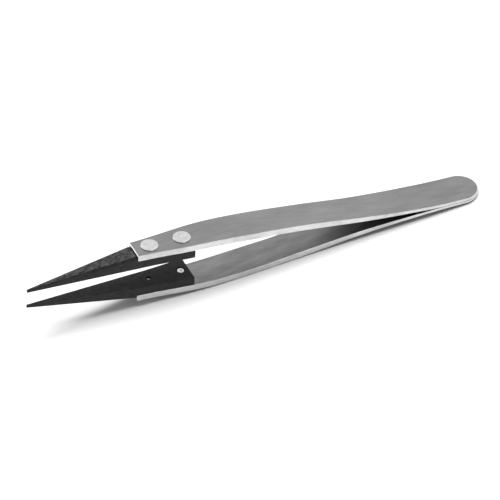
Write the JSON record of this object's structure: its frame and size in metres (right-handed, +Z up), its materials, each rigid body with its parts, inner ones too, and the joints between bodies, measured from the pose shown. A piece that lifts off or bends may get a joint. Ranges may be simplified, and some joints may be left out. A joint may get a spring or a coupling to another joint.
{
  "type": "precision tweezers",
  "caption": "Spring-steel precision tweezers: bowed arms welded at a round tail, with replaceable black plastic points held by flat-headed pins and socket screws.",
  "frame": {"origin": "on the surface the tweezers rest on, under the middle of their bounding box", "axes": "+X towards the round tail, so the points are at -X; +Y across the tweezers; +Z up from the surface they lie on. They rest on the tail's end and on the bow of the lower arm, so their middle plane slopes up towards the points by 5.18 degrees."},
  "size_m": [0.1258, 0.01, 0.017],
  "materials": {
    "arm_steel": "satin, brushed lengthwise on the faces, with brighter ground edges",
    "stud_steel": "fine turned face, polished rim",
    "screw_steel": "bright",
    "tip_plastic": "carbon-filled, conductive, fine moulded grain"
  },
  "bodies": {
    "tail": {"upper_arm_tail": "arm_steel", "lower_arm_tail": "arm_steel"},
    "upper_arm": {"upper_arm": "arm_steel", "upper_tip": "tip_plastic", "upper_locating_pin": "stud_steel", "upper_screw_bush": "stud_steel", "upper_tip_screw": "screw_steel"},
    "lower_arm": {"lower_arm": "arm_steel", "lower_tip": "tip_plastic", "lower_locating_pin": "stud_steel", "lower_screw_bush": "stud_steel", "lower_tip_screw": "screw_steel"}
  },
  "joints": [
    {"name": "upper_arm_flex", "type": "hinge", "parent": "tail", "child": "upper_arm", "pos_m": [0.03607, 0, 0.00465], "axis": [0, -1, 0], "range_deg": [0, 1.19], "stiffness_Nm_per_rad": 3.3},
    {"name": "lower_arm_flex", "type": "hinge", "parent": "tail", "child": "lower_arm", "pos_m": [0.03582, 0, 0.00186], "axis": [0, 1, 0], "range_deg": [0, 1.19], "stiffness_Nm_per_rad": 3.3}
  ],
  "couplings": [
    {"joint": "lower_arm_flex", "follows": "upper_arm_flex", "ratio": 1}
  ]
}
